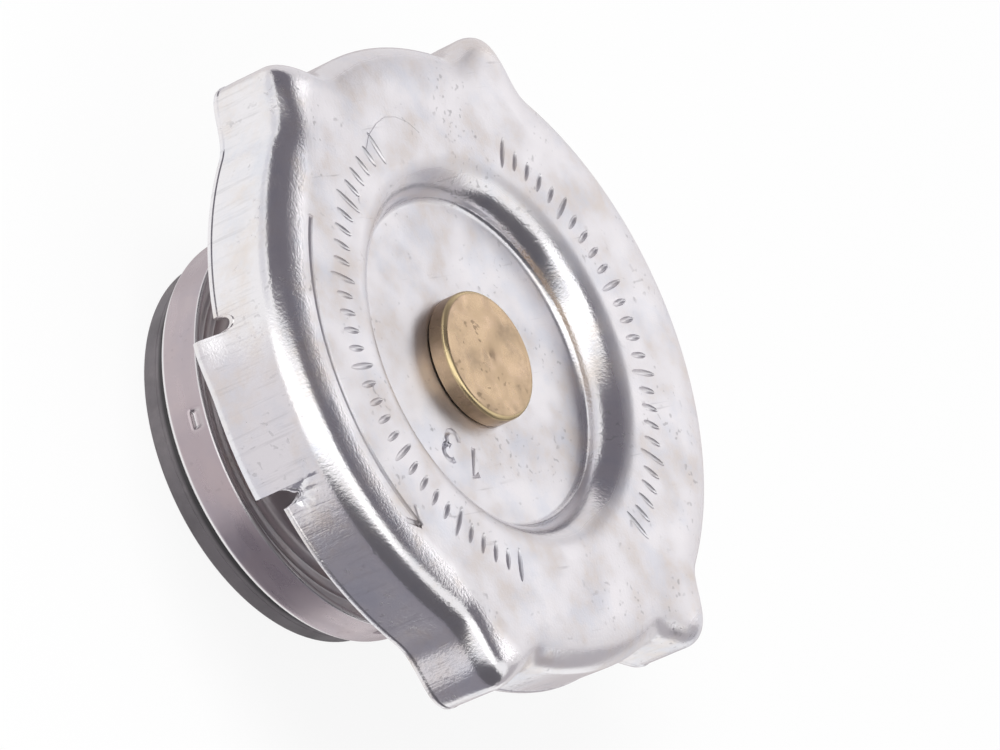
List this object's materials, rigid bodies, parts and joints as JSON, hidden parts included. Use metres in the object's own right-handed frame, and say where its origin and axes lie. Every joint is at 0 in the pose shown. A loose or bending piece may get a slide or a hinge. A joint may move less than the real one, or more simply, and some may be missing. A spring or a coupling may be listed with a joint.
{
  "type": "radiator cap",
  "caption": "Pressed bayonet radiator pressure cap with gripping ears, locking lugs, a swivelling valve carrier, a sprung pressure valve and a vacuum valve.",
  "frame": {"origin": "on the cap's axis, at the sealing face of the pressure gasket", "axes": "+Z along the cap's axis out of its face, +X through one locking lug"},
  "size_m": [0.0654, 0.0642, 0.0282],
  "materials": {
    "zinc_sheet": "zinc plated, satin, lightly scratched",
    "brass": "turned, dull",
    "spring_steel": "bright rolled",
    "bell_steel": "dull plated",
    "spring_wire": "drawn wire",
    "tinned_cup": "dull, slightly pink plating",
    "gasket_rubber": "matt moulded",
    "retainer_metal": "pressed, dull",
    "valve_brass": "turned",
    "seal_rubber": "matt"
  },
  "bodies": {
    "shell": {"shell": "zinc_sheet"},
    "carrier": {"rivet": "brass", "spring_disc": "spring_steel", "bell": "bell_steel", "main_spring": "spring_wire"},
    "pressure_valve": {"valve_cup": "tinned_cup", "pressure_gasket": "gasket_rubber", "gasket_retainer": "retainer_metal", "vacuum_spring": "spring_wire"},
    "vacuum_valve": {"vacuum_valve": "valve_brass", "vacuum_seal": "seal_rubber", "vacuum_keeper": "valve_brass"}
  },
  "joints": [
    {"name": "carrier_swivel", "type": "hinge", "parent": "shell", "child": "carrier", "pos_m": [0, 0, 0.0243], "axis": [0, 0, 1], "continuous": true},
    {"name": "pressure_lift", "type": "slide", "parent": "carrier", "child": "pressure_valve", "axis": [0, 0, 1], "range_m": [0, 0.0015], "stiffness_N_per_m": 400, "springref_m": -0.005, "deforming": ["main_spring"]},
    {"name": "vacuum_drop", "type": "slide", "parent": "pressure_valve", "child": "vacuum_valve", "axis": [0, 0, -1], "range_m": [0, 0.0012], "stiffness_N_per_m": 30, "springref_m": -0.002, "deforming": ["vacuum_spring"]}
  ]
}
